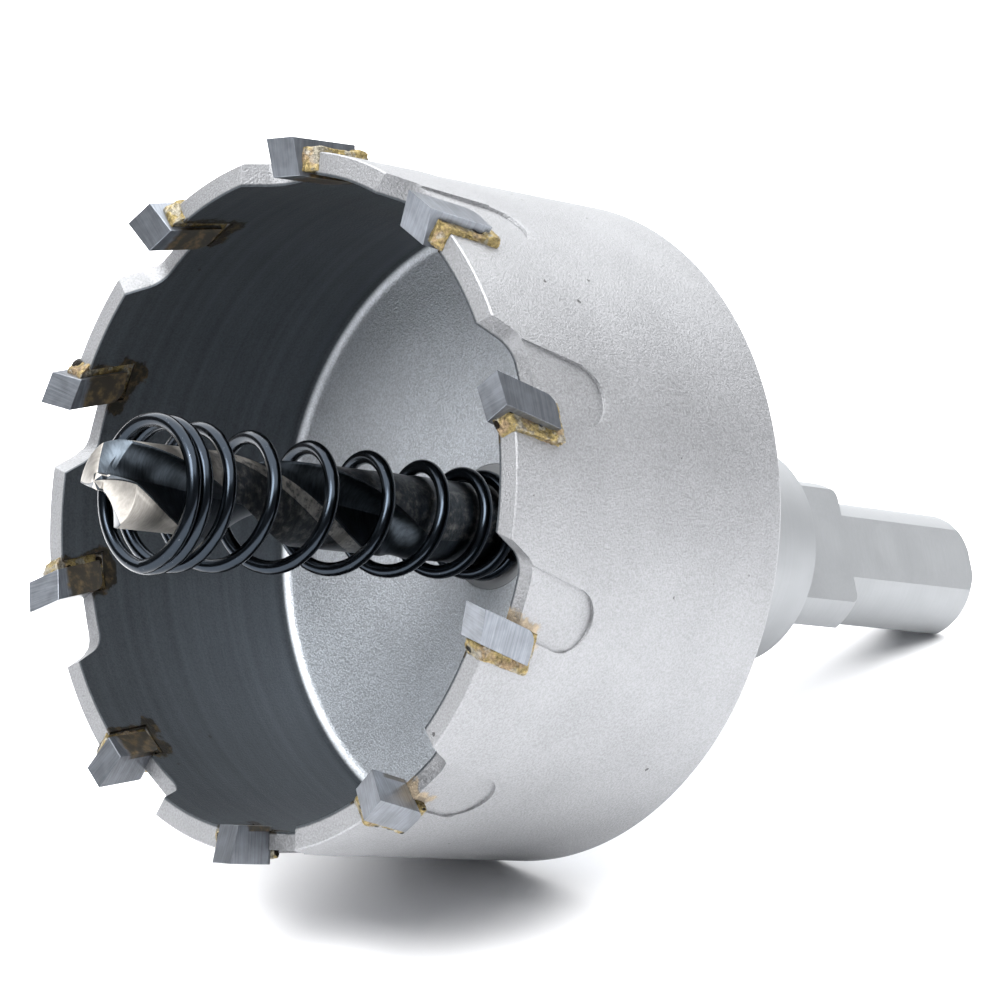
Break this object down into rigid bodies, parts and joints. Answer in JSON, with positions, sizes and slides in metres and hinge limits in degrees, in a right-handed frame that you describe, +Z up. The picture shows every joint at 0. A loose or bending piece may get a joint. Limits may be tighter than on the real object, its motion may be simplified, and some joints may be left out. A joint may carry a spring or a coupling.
{
  "type": "hole saw",
  "caption": "Carbide-tipped hole saw with a shallow steel cup, gullets, a centre pilot drill, a conical ejector spring and a stepped shank with flats, lying on its side.",
  "frame": {"origin": "on the floor the saw lies on, at the middle of its length and width", "axes": "+Z up; the saw's axis lies in the XZ plane and dips towards +X, where the shank end rests on the floor; the teeth look towards -X"},
  "size_m": [0.0824, 0.0498, 0.0559],
  "materials": {
    "cup_steel": "fine bead-blasted bare steel, satin",
    "shank_steel": "turned bare steel, satin, with milled flats",
    "drill_steel": "high-speed steel, dark oxide in the flutes and bright ground lands",
    "screw_steel": "black oxide alloy steel",
    "spring_steel": "oil-tempered spring wire, black, slightly glossy",
    "carbide": "sintered carbide, ground, blue-grey",
    "braze": "brass brazing alloy as it froze, lumpy with small pinholes"
  },
  "bodies": {
    "root": {"cup": "cup_steel", "shank": "shank_steel", "pilot_drill": "drill_steel", "grub_screw": "screw_steel", "ejector_spring": "spring_steel", "carbide_tooth_01": "carbide", "carbide_tooth_02": "carbide", "carbide_tooth_03": "carbide", "carbide_tooth_04": "carbide", "carbide_tooth_05": "carbide", "carbide_tooth_06": "carbide", "carbide_tooth_07": "carbide", "carbide_tooth_08": "carbide", "carbide_tooth_09": "carbide", "carbide_tooth_10": "carbide", "braze_seam_01": "braze", "braze_seam_02": "braze", "braze_seam_03": "braze", "braze_seam_04": "braze", "braze_seam_05": "braze", "braze_seam_06": "braze", "braze_seam_07": "braze", "braze_seam_08": "braze", "braze_seam_09": "braze", "braze_seam_10": "braze"}
  },
  "joints": []
}
